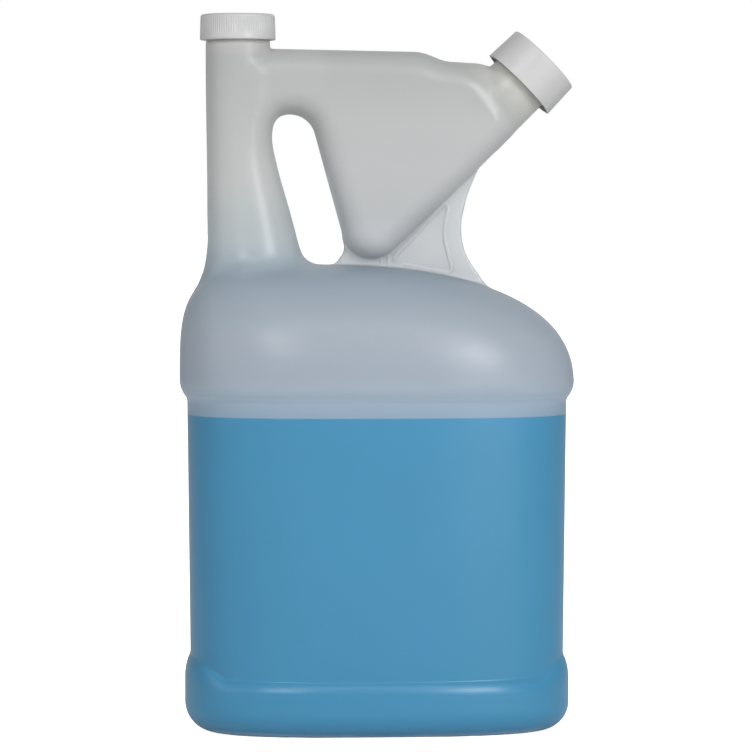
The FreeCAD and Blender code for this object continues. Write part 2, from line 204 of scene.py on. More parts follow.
def polygon_distance(poly):
    """Signed distance in XZ to a closed polyline."""
    a = poly
    b = np.roll(poly, -1, axis=0)
    keep = np.linalg.norm(b - a, axis=1) > 1e-6
    a, b = a[keep], b[keep]

    def at(x, z):
        shape = np.broadcast(x, z).shape
        x = np.broadcast_to(x, shape).ravel()
        z = np.broadcast_to(z, shape).ravel()
        best = np.full(x.shape, 1e9)
        inside = np.zeros(x.shape, bool)
        for (ax, az), (bx, bz) in zip(a, b):
            ex, ez = bx - ax, bz - az
            wx, wz = x - ax, z - az
            t = np.clip((wx * ex + wz * ez) / (ex * ex + ez * ez), 0, 1)
            d = (wx - ex * t) ** 2 + (wz - ez * t) ** 2
            best = np.minimum(best, d)
            if ez != 0:
                crosses = (az > z) != (bz > z)
                inside ^= crosses & (x < ex * (z - az) / ez + ax)
        d = np.sqrt(best)
        return np.where(inside, -d, d).reshape(shape)

    return at


def pillow(d2, y, depth, edge):
    """A flat shape of half thickness depth, with its edges rounded."""
    u = d2 + edge
    v = np.abs(y) - (depth - edge)
    return np.hypot(np.maximum(u, 0), np.maximum(v, 0)) - edge + np.minimum(np.maximum(u, v), 0)


def rounded_meet(d, plane, radius):
    """Inside of d and below a plane distance, with the corner rounded."""
    u, v = d + radius, plane + radius
    return np.hypot(np.maximum(u, 0), np.maximum(v, 0)) - radius + np.minimum(np.maximum(u, v), 0)


base_plan = near_distance(lambda x, y, z: superplan(x, y, BASE["half_width"], BASE["half_depth"], PLAN_N) - 1)
shoulder_plan = near_distance(
    lambda x, y, z: superplan(x, y, SHOULDER["half_width"], SHOULDER["half_depth"], PLAN_N) - 1)


def panel_raw(x, y, z):
    t = (z - PANEL["bottom"]) / (PANEL["top"] - PANEL["bottom"])
    half_width = lerp(PANEL["low"], PANEL["high"], t)
    half_depth = lerp(PANEL["depth_low"], PANEL["depth_high"], t)
    return superplan(x, y, half_width, half_depth, PLAN_N) - 1


def dome_raw(x, y, z):
    u = (z - DOME["z"]) / DOME["height"]
    w = np.clip(u, 0, 0.992)
    q_front = (1 - w ** DOME["front"]) ** (1 / DOME["front"])
    q_rear = (1 - w ** DOME["rear"]) ** (1 / DOME["rear"])
    front = SHOULDER["half_width"] - DOME["crest"]
    rear = SHOULDER["half_width"] + DOME["crest"]
    x0 = DOME["crest"] - rear * q_rear
    x1 = DOME["crest"] + front * q_front
    s = superplan(x - (x0 + x1) / 2, y, (x1 - x0) / 2 / q_front, SHOULDER["half_depth"], PLAN_N)
    return (s ** DOME["front"] + np.abs(u) ** DOME["front"]) ** (1 / DOME["front"]) - 1


panel_side = near_distance(panel_raw)
dome_skin = near_distance(dome_raw)


def push_up_raw(x, y, z):
    inset = PUSH_UP["slope"] * np.minimum((z + 1) / (PUSH_UP["height"] + 1), 2)
    half_width, half_depth = PUSH_UP["half_width"] - inset, PUSH_UP["half_depth"] - inset
    return superplan(x, y, half_width, half_depth, PUSH_UP["exponent"]) - 1


push_up_side = near_distance(push_up_raw)


def body_field(x, y, z):
    """Base, label panel, shoulder and dome, with the push-up underneath."""
    plan = base_plan(x, y, z)
    side = ease(rise(np.abs(x), *LEDGE_TURN))
    top = lerp(BASE["top_front"], BASE["top_side"], side)
    band = lerp(BASE["band_front"], BASE["band_side"], side)
    base = np.maximum(rounded_meet(plan, -z, BASE["edge"]), rounded_meet(plan, z - band - top, top))
    middle = (PANEL["top"] + PANEL["bottom"]) / 2
    half_height = (PANEL["top"] - PANEL["bottom"]) / 2 + PANEL["overlap"]
    panel = np.maximum(panel_side(x, y, z), np.abs(z - middle) - half_height)
    low = rounded_meet(shoulder_plan(x, y, z), SHOULDER["edge_z"] - SHOULDER["edge"] - z, SHOULDER["edge"])
    shoulder = np.where(z < SHOULDER["edge_z"], low, dome_skin(x, y, z))
    body = smin(smin(base, panel, BLEND["base_panel"]), shoulder, BLEND["shoulder"])
    push_up = smax(push_up_side(x, y, z), z - PUSH_UP["height"], BLEND["push_up_roof"])
    return smax(body, -push_up, BLEND["push_up_mouth"])


handle_at = hermite_table(HANDLE)


def handle_raw(x, y, z):
    x0, x1, depth = handle_at(z)
    return superplan(x - (x0 + x1) / 2, y, (x1 - x0) / 2, depth, HANDLE_N) - 1


handle_skin = near_distance(handle_raw)
plate_2d = polygon_distance(outline(PLATE_CORNERS))
web_2d = polygon_distance(outline(WEB_CORNERS))


def spout_field(x, y, z):
    """The spout's cylinder, thinner at the finish and flatter front to back inside the chamber."""
    px, pz = x - SPOUT_RIM[0], z - SPOUT_RIM[2]
    along = px * SPOUT_DIR[0] + pz * SPOUT_DIR[2]
    across = px * SPOUT_DIR[2] - pz * SPOUT_DIR[0]
    radius = NECK_R + (FINISH_R - NECK_R) * soft_step((along + SPOUT_FINISH) / FINISH_STEP["spout"])
    flatter = y * (1 + SPOUT_FLATTENING["by"] * ease(rise(-along, *SPOUT_FLATTENING["between"])))
    across = across + SPOUT_LIFT["by"] * rise(-along, *SPOUT_LIFT["between"])
    tube = np.maximum(np.hypot(across, flatter) - radius, -along - SPOUT_LENGTH)
    return np.maximum(tube, along - RIM_OVERRUN)


def handle_field(x, y, z):
    """The hollow handle, from inside the dome up to the threaded finish."""
    neck = np.hypot(x - NECK_X, y) - FINISH_R
    step = soft_step((z - NECK_TOP) / FINISH_STEP["neck"])
    handle = np.maximum(handle_skin(x, y, z), HANDLE_FOOT - z)
    return np.maximum(handle * (1 - step) + neck * step, z - FILL_RIM - RIM_OVERRUN)


def plate_field(x, y, z):
    """Bridge and dosing chamber: a plate whose faces slope in towards the spout."""
    past = (x - FACE_SLOPE["x"]) * FACE_SLOPE["nx"] + (z - FACE_SLOPE["z"]) * FACE_SLOPE["nz"]
    depth = PLATE_DEPTH - FACE_SLOPE["drop"] * ease(rise(past, 0, FACE_SLOPE["length"]))
    return pillow(plate_2d(x, z), y, depth, PLATE_EDGE)


def bottle_field(x, y, z):
    """The whole jug: body, handle, bridge, chamber, spout and web."""
    body = body_field(x, y, z)
    handle = handle_field(x, y, z)
    bridge_blend = lerp(BRIDGE_BLEND["slot"], BRIDGE_BLEND["top"], rise(z, *BRIDGE_BLEND["z"]))
    upper = smin(handle, plate_field(x, y, z), bridge_blend)
    upper = smin(upper, spout_field(x, y, z), BLEND["spout"])
    web = smax(web_2d(x, z), np.abs(y) - WEB_HALF, BLEND["web_edge"])
    handle_blend = lerp(HANDLE_BLEND["rear"], HANDLE_BLEND["front"], rise(x, *HANDLE_BLEND["x"]))
    lower = smin(smin(body, handle, handle_blend), smin(body, web, BLEND["web_dome"]), BLEND["dome"])
    return smin(smin(upper, web, BLEND["web_chamber"]), lower, BLEND["whole"])


# ---------------------------------------------------------------------------
# Surface nets on a grid with uneven spacing
# ---------------------------------------------------------------------------
def spans(*parts):
    """Grid lines: (start, stop, spacing) parts that follow on."""
    lines = [parts[0][0]]
    for start, stop, gap in parts:
        count = max(1, round((stop - start) / gap))
        lines.extend(start + (stop - start) * (i + 1) / count for i in range(count))
    return np.array(lines)


def surface_net(values, xs, ys, zs):
    """A point in each cell that the surface crosses, and a quad around each grid line that it crosses."""
    inside = values < 0
    nx, ny, nz = values.shape
    total = np.zeros((nx - 1, ny - 1, nz - 1, 3))
    count = np.zeros((nx - 1, ny - 1, nz - 1))
    grids = [xs[:, None, None], ys[None, :, None], zs[None, None, :]]
    edges = {}
    for axis in range(3):
        lo = [slice(None)] * 3
        hi = [slice(None)] * 3
        lo[axis], hi[axis] = slice(0, -1), slice(1, None)
        a, b = values[tuple(lo)], values[tuple(hi)]
        crossing = inside[tuple(lo)] != inside[tuple(hi)]
        t = np.where(crossing, a / np.where(crossing, a - b, 1), 0)
        point = []
        for k in range(3):
            g = np.broadcast_to(grids[k], values.shape)
            g0, g1 = g[tuple(lo)], g[tuple(hi)]
            point.append(g0 + (g1 - g0) * t)
        point = np.stack(point, -1) * crossing[..., None]
        others = [k for k in range(3) if k != axis]
        for o0 in (0, 1):
            for o1 in (0, 1):
                s = [slice(None)] * 3
                s[others[0]] = slice(o0, values.shape[others[0]] - 1 + o0)
                s[others[1]] = slice(o1, values.shape[others[1]] - 1 + o1)
                total += point[tuple(s)]
                count += crossing[tuple(s)]
        edges[axis] = (crossing, inside[tuple(lo)])
    active = count > 0
    index = np.full(active.shape, -1, np.int64)
    index[active] = np.arange(int(active.sum()))
    verts = total[active] / count[active][:, None]
    quads = []
    for axis in range(3):
        crossing, low_inside = edges[axis]
        u, v = [(1, 2), (2, 0), (0, 1)][axis]
        s = [slice(None)] * 3
        s[u], s[v] = slice(1, -1), slice(1, -1)
        where = np.argwhere(crossing[tuple(s)])
        where[:, u] += 1
        where[:, v] += 1
        flip = low_inside[tuple(where.T)]
        corner = []
        for du, dv in ((-1, -1), (0, -1), (0, 0), (-1, 0)):
            w = where.copy()
            w[:, u] += du
            w[:, v] += dv
            corner.append(index[tuple(w.T)])
        q = np.stack(corner, 1)
        q[~flip] = q[~flip][:, ::-1]
        quads.append(q)
    return verts, np.concatenate(quads)


def gradient(field, p, step=0.05):
    """Slope of a field at points, by central differences."""
    out = np.empty_like(p)
    for k in range(3):
        hi, lo = p.copy(), p.copy()
        hi[:, k] += step
        lo[:, k] -= step
        out[:, k] = (field(*hi.T) - field(*lo.T)) / (2 * step)
    return out


LONGEST_MOVE = 1.2           # of a point in one round of settling
LEAST_SLOPE = 0.15           # guards against a flat spot in a field


def settle(field, p, rounds):
    """Moves points onto the zero surface."""
    for _ in range(rounds):
        g = gradient(field, p)
        move = (field(*p.T) / np.maximum((g * g).sum(1), LEAST_SLOPE))[:, None] * g
        length = np.linalg.norm(move, axis=1, keepdims=True)
        p = p - move * np.minimum(1, LONGEST_MOVE / np.maximum(length, 1e-9))
    return p


def relax(field, p, quads, rounds):
    """Evens out the net along the surface, keeping it on the surface."""
    e = np.concatenate([quads[:, [0, 1]], quads[:, [1, 2]], quads[:, [2, 3]], quads[:, [3, 0]]])
    for _ in range(rounds):
        total = np.zeros_like(p)
        count = np.zeros(len(p))
        np.add.at(total, e[:, 0], p[e[:, 1]])
        np.add.at(total, e[:, 1], p[e[:, 0]])
        np.add.at(count, e.ravel(), 1)
        g = gradient(field, p)
        n = g / np.maximum(np.linalg.norm(g, axis=1, keepdims=True), 1e-9)
        move = total / count[:, None] - p
        move -= n * (move * n).sum(1, keepdims=True)
        p = settle(field, p + 0.5 * move, 1)
    return p


def new_object(name, mesh, body):
    """A mesh as an object that moves with a body."""
    obj = bpy.data.objects.new(name, mesh)
    bpy.context.scene.collection.objects.link(obj)
    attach(obj, body)
    return obj


STEPS_PER_TURN = 72
RIDGE_SINK = 0.3             # how far a thread's foot reaches into the plastic
RIDGE_FOOT = 1.2             # half height of a thread at its foot
RIDGE_TIP = 0.55             # and at its crest
RIDGE_FADE = 8               # steps over which each end of a thread rises


def thread_ridge(root, crest, low_end, turns, place, start=0.0):
    """A helical thread ridge, outward when crest is wider than root. place maps (x, y, z) to the frame."""
    rows = int(turns * STEPS_PER_TURN)
    foot = root - RIDGE_SINK if crest > root else root + RIDGE_SINK
    verts, faces = [], []
    for i in range(rows + 1):
        a = 2 * math.pi * (start + turns * i / rows)
        z = low_end + PITCH * turns * i / rows
        fade = min(1.0, i / RIDGE_FADE, (rows - i) / RIDGE_FADE)
        top = root + (crest - root) * fade
        for r, dz in ((foot, -RIDGE_FOOT), (top, -RIDGE_TIP), (top, RIDGE_TIP), (foot, RIDGE_FOOT)):
            verts.append(place(r * math.cos(a), r * math.sin(a), z + dz))
    for i in range(rows):
        for k in range(4):
            a, b = i * 4 + k, i * 4 + (k + 1) % 4
            faces.append((a, b, b + 4, a + 4))
    faces.append((3, 2, 1, 0))
    faces.append((rows * 4, rows * 4 + 1, rows * 4 + 2, rows * 4 + 3))
    return verts, faces


def lathe(profile, around, place, ribs=0, rib_depth=0.0):
    """Turns rows of (radius, height, share of the rib depth) into rings of quads."""
    angle = np.linspace(0, 2 * math.pi, around, endpoint=False)
    valley = 0.5 - 0.5 * np.cos(ribs * angle)
    verts, faces = [], []
    for radius, z, share in profile:
        r = radius - share * rib_depth * valley
        verts += [place(q * math.cos(a), q * math.sin(a), z) for q, a in zip(r, angle)]
    for i in range(len(profile) - 1):
        for k in range(around):
            a, b = i * around + k, i * around + (k + 1) % around
            faces.append((a, a + around, b + around, b))
    return verts, faces


BEAD_SIDES = 8
BEAD_TAPER = 3               # points over which each end of a bead narrows


def bead_line(path, radius):
    """A round bead along a path of points."""
    path = np.array(path, float)
    along = np.gradient(path, axis=0)
    along /= np.linalg.norm(along, axis=1, keepdims=True)
    side = np.array([0.0, 1.0, 0.0])
    verts, faces = [], []
    for i, (p, d) in enumerate(zip(path, along)):
        r = radius * min(1.0, (i + 0.4) / BEAD_TAPER, (len(path) - 1 - i + 0.4) / BEAD_TAPER)
        up = np.cross(side, d)
        for k in range(BEAD_SIDES):
            a = 2 * math.pi / BEAD_SIDES * k
            verts.append(p + r * (side * math.cos(a) + up * math.sin(a)))
    for i in range(len(path) - 1):
        for k in range(BEAD_SIDES):
            a, b = i * BEAD_SIDES + k, i * BEAD_SIDES + (k + 1) % BEAD_SIDES
            faces.append((a, b, b + BEAD_SIDES, a + BEAD_SIDES))
    faces.append(tuple(range(BEAD_SIDES - 1, -1, -1)))
    faces.append(tuple(range(len(verts) - BEAD_SIDES, len(verts))))
    return verts, faces


def web_beads():
    """Raised lines moulded on both faces of the web: a triangle, and two short lines under the chamber."""
    loop = outline(TRIANGLE, 15)
    loop = np.concatenate([loop, loop[:1]])
    steps = np.concatenate([[0], np.cumsum(np.linalg.norm(np.diff(loop, axis=0), axis=1))])
    at = np.linspace(0, steps[-1], TRIANGLE_BEAD["points"])
    xs, zs = np.interp(at, steps, loop[:, 0]), np.interp(at, steps, loop[:, 1])
    out = []
    for face in (-1, 1):
        y = face * (WEB_HALF - TRIANGLE_BEAD["sink"])
        out.append(bead_line([(x, y, z) for x, z in zip(xs, zs)], TRIANGLE_BEAD["radius"]))
        y = face * (WEB_HALF - SHORT_BEADS["sink"])
        drop = np.linspace(SHORT_BEADS["top"], SHORT_BEADS["bottom"], SHORT_BEADS["points"])
        for x in SHORT_BEADS["xs"]:
            out.append(bead_line([(x, y, z) for z in drop], SHORT_BEADS["radius"]))
    return out


def on_fill_neck(x, y, z):
    """From the fill neck's own axes, with z up from its rim, to the frame."""
    return (NECK_X + x, y, FILL_RIM + z)


def on_spout(x, y, z):
    """From the spout's own axes, with z out along it from its rim, to the frame."""
    side = np.array([SPOUT_DIR[2], 0, -SPOUT_DIR[0]])
    return tuple(SPOUT_RIM + side * x + np.array([0, 1, 0]) * y + SPOUT_DIR * z)


# ---------------------------------------------------------------------------
# The jug
# ---------------------------------------------------------------------------
def wall_at(p):
    """Wall thickness: thicker at the two finishes."""
    along = (p - SPOUT_RIM) @ SPOUT_DIR
    at_spout = np.linalg.norm(np.cross(p - SPOUT_RIM, SPOUT_DIR), axis=1) < FINISH_WALL["spout_reach"]
    at_neck = np.abs(p[:, 0] - NECK_X) < FINISH_WALL["neck_reach"]
    wall = np.full(len(p), WALL)
    for height, start, here in ((p[:, 2], FINISH_WALL["neck_z"], at_neck),
                                (along, FINISH_WALL["spout_along"], at_spout)):
        wall += FINISH_WALL["extra"] * soft_step((height - start) / FINISH_WALL["softness"]) * here
    return wall


def outer_net():
    """The jug's outer surface, running a little past both rims. The grid is finer where edges are tight."""
    xs = spans((-100, -56, 2.2), (-56, -46, 1.2), (-46, 100, 2.2))
    ys = spans((-64, -10, 2.2), (-10, 10, 1.25), (10, 64, 2.2))
    zs = spans((-3, 13, 1.5), (13, 18, 2.2), (18, 30, 0.75), (30, 40, 1.5), (40, 152, 4.5),
               (152, 170, 1.2), (170, 212, 2.2), (212, 232, 1.4), (232, 322, 2.0), (322, 332, 1.2),
               (332, 346, 2.0))
    top = zs > 190
    values = np.empty((len(xs), len(ys), len(zs)))
    x, y = xs[:, None, None], ys[None, :, None]
    values[:, :, ~top] = body_field(x, y, zs[None, None, ~top])
    values[:, :, top] = bottle_field(x, y, zs[None, None, top])
    verts, quads = surface_net(values, xs, ys, zs)
    verts = settle(bottle_field, verts, 3)
    verts = relax(bottle_field, verts, quads, 4)
    return settle(bottle_field, verts, 2), quads


def cut_rims(verts, quads):
    """Cuts the net off square at both rims. Returns points, faces and the open edges in face order."""
    mesh = bpy.data.meshes.new("bottle_outer")
    mesh.from_pydata((verts * MM).tolist(), [], quads.tolist())
    bm = bmesh.new()
    bm.from_mesh(mesh)
    for centre, direction, reach in RIMS:
        c = Vector(centre * MM)
        near = [f for f in bm.faces if (f.calc_center_median() - c).length < reach * MM]
        geom = dict.fromkeys(near)      # keeps its order, so that each run numbers the points alike
        for f in near:
            geom.update(dict.fromkeys(f.edges))
            geom.update(dict.fromkeys(f.verts))
        bmesh.ops.bisect_plane(bm, geom=list(geom), plane_co=c, plane_no=Vector(direction), clear_outer=True)
        loose = [f for f in bm.faces if (f.calc_center_median() - c).dot(Vector(direction)) > 0.0001
                 and (f.calc_center_median() - c).length < reach * MM]
        bmesh.ops.delete(bm, geom=loose, context="FACES")
    bmesh.ops.delete(bm, geom=[v for v in bm.verts if not v.link_faces], context="VERTS")
    bm.verts.index_update()
    points = np.array([v.co[:] for v in bm.verts]) / MM
    points[:, 2] = np.maximum(points[:, 2], 0)
    faces = [[v.index for v in f.verts] for f in bm.faces]
    rim = []
    for e in bm.edges:
        if len(e.link_faces) != 1:
            continue
        a, b = e.verts[0].index, e.verts[1].index
        ring = [v.index for v in e.link_faces[0].verts]
        if ring[(ring.index(a) + 1) % len(ring)] != b:
            a, b = b, a
        rim.append((a, b))
    bm.free()
    bpy.data.meshes.remove(mesh)
    return points, faces, rim


def build_bottle():
    """Outer and inner skin a wall apart, joined at both rims, with the threads and the web's raised lines."""
    outer, faces, rim = cut_rims(*outer_net())
    count = len(outer)
    g = gradient(bottle_field, outer)
    normals = g / np.linalg.norm(g, axis=1, keepdims=True)
    inner = outer - normals * wall_at(outer)[:, None]
    inner_faces = [[i + count for i in reversed(f)] for f in faces]
    rim_quads = [(b, a, a + count, b + count) for a, b in rim]
    all_faces = faces + inner_faces + rim_quads
    all_verts = np.concatenate([outer, inner]).tolist()
    vertex_normals = np.concatenate([normals, -normals]).tolist()
    inner_start, inner_end = len(faces), len(faces) + len(inner_faces)
    threads = [thread_ridge(FINISH_R, THREAD_R, THREAD_LOW, THREAD_TURNS, place)
               for place in (on_fill_neck, on_spout)]
    for v, f in threads + web_beads():
        offset = len(all_verts)
        all_verts += [list(p) for p in v]
        all_faces += [[i + offset for i in q] for q in f]
        vertex_normals += [(0, 0, 0)] * len(v)
    mesh = bpy.data.meshes.new("bottle_skin")
    mesh.from_pydata((np.array(all_verts) * MM).tolist(), [], all_faces)
    mesh.validate()
    mesh.polygons.foreach_set("use_smooth", [True] * len(mesh.polygons))
    index = np.zeros(len(mesh.polygons), int)
    index[inner_start:inner_end] = 1
    mesh.polygons.foreach_set("material_index", index)
    mesh.normals_split_custom_set_from_vertices(vertex_normals)
    return new_object("bottle_skin", mesh, "bottle")


# ---------------------------------------------------------------------------
# The detergent
# ---------------------------------------------------------------------------
LIQUID_GAP = 0.05            # between the detergent and the wall
LIQUID_FLOOR = 4.4           # height of the detergent's underside over the push-up
AROUND_LIQUID = 180
ANGLE_SHIFT = 0.21           # moves points round the ring, towards its two ends in x
WALL_SEARCH = dict(low=20.0, high=130.0, halvings=36)
MENISCUS = ((0.8, 0.28), (1.8, 0.5), (3.2, 0.6), (8.0, 0.6), (30.0, 0.6))   # inset from the wall, drop
UNDERSIDE = ((0.4, LIQUID_FLOOR), (0.75, LIQUID_FLOOR), (0.85, 1.3), (0.93, 1.3))   # scale, height


def inside_wall(x, y, z):
    return body_field(x, y, z) + WALL + LIQUID_GAP


def wall_ring(angle, z):
    """Points on the inside of the wall at one height, found by halving."""
    c, s = np.cos(angle), np.sin(angle)
    low, high = np.full(len(angle), WALL_SEARCH["low"]), np.full(len(angle), WALL_SEARCH["high"])
    for _ in range(WALL_SEARCH["halvings"]):
        middle = (low + high) / 2
        out = inside_wall(middle * c, middle * s, np.full(len(angle), z)) > 0
        high = np.where(out, middle, high)
        low = np.where(out, low, middle)
    return np.stack([low * c, low * s, np.full(len(angle), z)], 1)


def build_detergent():
    """Rings that follow the inside of the wall, with a small meniscus, and a flat top."""
    angle = np.linspace(0, 2 * math.pi, AROUND_LIQUID, endpoint=False)
    angle = angle - ANGLE_SHIFT * np.sin(2 * angle)
    heights = spans((1.6, 12, 0.9), (12, 24, 2.0), (24, 40, 1.0), (40, LEVEL - 3, 5.0),
                    (LEVEL - 3, LEVEL + 0.6, 0.6))
    side = [wall_ring(angle, z) for z in heights]
    under = []
    for scale, z in UNDERSIDE:
        ring = side[0] * scale
        ring[:, 2] = z
        under.append(ring)
    edge = side[-1]
    reach = np.hypot(edge[:, 0], edge[:, 1])
    top = []
    for shrink, drop in MENISCUS:
        ring = edge * ((reach - shrink) / reach)[:, None]
        ring[:, 2] = edge[:, 2] - drop
        top.append(ring)
    rings = under + side + top
    faces = []
    for i in range(len(rings) - 1):
        for k in range(AROUND_LIQUID):
            n = (k + 1) % AROUND_LIQUID
            faces.append((i * AROUND_LIQUID + k, i * AROUND_LIQUID + n,
                          (i + 1) * AROUND_LIQUID + n, (i + 1) * AROUND_LIQUID + k))
    verts = np.concatenate(rings + [[[0, 0, LIQUID_FLOOR], [0, 0, LEVEL]]])
    bottom_centre, top_centre = len(verts) - 2, len(verts) - 1
    last = (len(rings) - 1) * AROUND_LIQUID
    for k in range(AROUND_LIQUID):
        n = (k + 1) % AROUND_LIQUID
        faces.append((bottom_centre, n, k))
        faces.append((top_centre, last + k, last + n))
    mesh = bpy.data.meshes.new("detergent_body")
    mesh.from_pydata((verts * MM).tolist(), [], faces)
    mesh.polygons.foreach_set("use_smooth", [True] * len(mesh.polygons))
    return new_object("detergent_body", mesh, "bottle")


# ---------------------------------------------------------------------------
# The ribbed fill cap
# ---------------------------------------------------------------------------
RIBS = 96
RIB_DEPTH = 0.24
STEPS_PER_RIB = 6
CAP_BORE = 16.35
CAP_THREAD = dict(crest=15.15, low=THREAD_LOW - 0.1 * PITCH, turns=0.95, start=0.4)
FILL_CAP_PROFILE = [  # radius, height above the neck's rim, share of the rib depth
    (0.5, 2.5, 0), (14.0, 2.48, 0), (16.3, 2.4, 0), (17.0, 2.22, 0), (17.45, 1.9, 0), (17.7, 1.5, 0),
    (17.8, 1.1, 0.3), (17.83, 0.7, 1), (17.95, -3.0, 1), (18.05, -6.4, 1), (18.06, -6.8, 0.5),
    (18.05, -7.1, 0), (18.08, -8.3, 0), (18.14, -8.8, 0), (18.16, -9.2, 0), (18.1, -9.6, 0),
    (17.95, -9.87, 0), (17.6, -10.0, 0), (16.7, -10.0, 0), (16.45, -9.93, 0), (CAP_BORE, -9.7, 0),
    (CAP_BORE, -4.0, 0), (CAP_BORE, 0.7, 0), (16.25, 1.05, 0), (15.9, 1.2, 0), (0.5, 1.2, 0)]


def build_fill_cap():
    """The ribbed shell, closed at both ends, with the thread inside it."""
    around = RIBS * STEPS_PER_RIB
    verts, faces = lathe(FILL_CAP_PROFILE, around, on_fill_neck, RIBS, RIB_DEPTH)
    faces.append(tuple(range(around)))
    faces.append(tuple(range(len(verts) - 1, len(verts) - 1 - around, -1)))
    v, f = thread_ridge(CAP_BORE, CAP_THREAD["crest"], CAP_THREAD["low"], CAP_THREAD["turns"], on_fill_neck,
                        CAP_THREAD["start"])
    faces += [tuple(i + len(verts) for i in q) for q in f]
    verts += v
    mesh = bpy.data.meshes.new("fill_cap_ribbed")
    mesh.from_pydata([(x * MM, y * MM, z * MM) for x, y, z in verts], [], faces)
    mesh.polygons.foreach_set("use_smooth", [True] * len(mesh.polygons))
    return new_object("fill_cap_ribbed", mesh, "fill_cap")


# ---------------------------------------------------------------------------
# Materials
# ---------------------------------------------------------------------------
def rgb(r, g, b):
    """sRGB 0 to 255 as a linear colour with full alpha."""
    def linear(v):
        v = v / 255
        return v / 12.92 if v <= 0.04045 else ((v + 0.055) / 1.055) ** 2.4
    return (linear(r), linear(g), linear(b), 1.0)


class Nodes:
    """A material's node tree, with one short call for each kind of node used here."""

    def __init__(self, name):
        self.mat = bpy.data.materials.new(name)
        self.mat.use_nodes = True
        self.tree = self.mat.node_tree
        self.tree.nodes.clear()
        self.out = self.tree.nodes.new("ShaderNodeOutputMaterial")

    def add(self, kind, inputs=None, **settings):
        """A node with some inputs linked, where a socket is given, and the others set."""
        node = self.tree.nodes.new("ShaderNode" + kind)
        for key, value in settings.items():
            setattr(node, key, value)
        for key, value in (inputs or {}).items():
            if isinstance(value, bpy.types.NodeSocket):
                self.tree.links.new(value, node.inputs[key])
            else:
                node.inputs[key].default_value = value
        return node

    def noise(self, coords, scale, detail):
        return self.add("TexNoise", {"Vector": coords, "Scale": scale, "Detail": detail}).outputs["Fac"]

    def rise(self, value, start, end):
        """0 at start, 1 at end, and held beyond them."""
        return self.add("MapRange", {"Value": value, "From Min": start, "From Max": end}).outputs["Result"]

    def spread(self, value, low, high):
        """Maps 0 to 1 onto low to high."""
        return self.add("MapRange", {"Value": value, "To Min": low, "To Max": high}).outputs["Result"]

    def math(self, operation, *values):
        return self.add("Math", dict(enumerate(values)), operation=operation).outputs["Value"]

    def number_mix(self, factor, a, b):
        return self.add("Mix", {0: factor, 2: a, 3: b}, data_type="FLOAT").outputs[0]

    def colour_mix(self, factor, a, b, **settings):
        return self.add("Mix", {0: factor, 6: a, 7: b}, data_type="RGBA", **settings).outputs[2]

    def shader_mix(self, factor, a, b):
        return self.add("MixShader", {0: factor, 1: a.outputs[0], 2: b.outputs[0]})

    def ramp(self, value, stops):
        node = self.add("ValToRGB", {"Fac": value})
        points = node.color_ramp.elements
        while len(points) < len(stops):
            points.new(0.5)
        for point, (at, colour) in zip(points, stops):
            point.position = at
            point.color = colour
        return node.outputs["Color"]

    def surface(self, shader):
        self.tree.links.new(shader.outputs[0], self.out.inputs["Surface"])
        return self.mat


CAP_WHITE = rgb(180, 180, 181)
FOAM_WHITE = rgb(235, 234, 228)
LIQUID_BLUE = rgb(64, 138, 174)
WET = rgb(69, 143, 180)
# Painted light: the web is lighter, standing in for light that comes through its thin plastic from behind.
WEB_PAINTED_GLOW = rgb(213, 216, 218)
# Painted light: the spout's finish is lighter and slightly warm, lifting the shade that the dosing cap casts
# on it.
UNDER_CAP_PAINTED_LIGHT = rgb(216, 216, 209)
# Dry wall colour by height, with painted light: the blue tint over the shoulder and dome is painted blue
# light from the detergent; the light stop at 0.050 is a painted highlight line that also lifts the shade in
# the shoulder crease; the last stop is painted light lifting the shade under the fill cap.
DRY_WITH_PAINTED_LIGHT = [(0.0, rgb(160, 180, 198)), (0.030, rgb(168, 187, 203)), (0.046, rgb(177, 194, 210)),
       (0.050, rgb(190, 204, 216)), (0.055, rgb(179, 193, 206)), (0.075, rgb(177, 189, 200)),
       (0.1, rgb(175, 185, 196)), (0.2, rgb(177, 185, 194)), (0.345, rgb(170, 183, 193)),
       (0.42, rgb(191, 199, 202)), (0.56, rgb(200, 202, 201)), (0.86, rgb(191, 192, 192)),
       (0.93, rgb(216, 216, 211))]
# Chamber colour by height, with painted light: the lighter low stops lift the shade on the chamber's
# downward-facing tip and lower edges.
AIR_WITH_PAINTED_LIGHT = [(0.0, rgb(214, 219, 223)), (0.34, rgb(212, 217, 221)), (0.48, rgb(198, 200, 202)),
       (0.7, rgb(198, 199, 199)), (0.84, rgb(187, 188, 188))]

# Where the plastic changes colour, in metres. Each pair runs from none to full.
RAMP_HEIGHTS = (0.15, 0.35)
WET_EDGE = (LEVEL * MM + 0.0002, LEVEL * MM - 0.0002)
LEVEL_WOBBLE = 0.0001
SPOUT_SIDE = (-0.03, -0.022)             # along x
WEB_MIDDLE = (0.008, 0.005)              # distance from the middle plane
WEB_TOP = (0.272, 0.262)
WEB_FOOT = (0.205, 0.216)
CREST_X = -0.02                          # the edge of the chamber's tint falls away on both sides of this
CREST_CURVE = 2.4
CREST_EDGE = (0.2245, 0.2262)
# Where the painted light under the dosing cap starts and reaches full, as x plus height.
UNDER_CAP_LIGHT_EDGE = (0.358, 0.378)             # x plus height
TRANSLUCENT_DRY, TRANSLUCENT_WET = 0.5, 0.35
OUTER_SEE_THROUGH = dict(low=0.08, high=0.14, wet=0.1)
INNER_SEE_THROUGH = dict(low=0.6, high=0.64, wet=0.8)


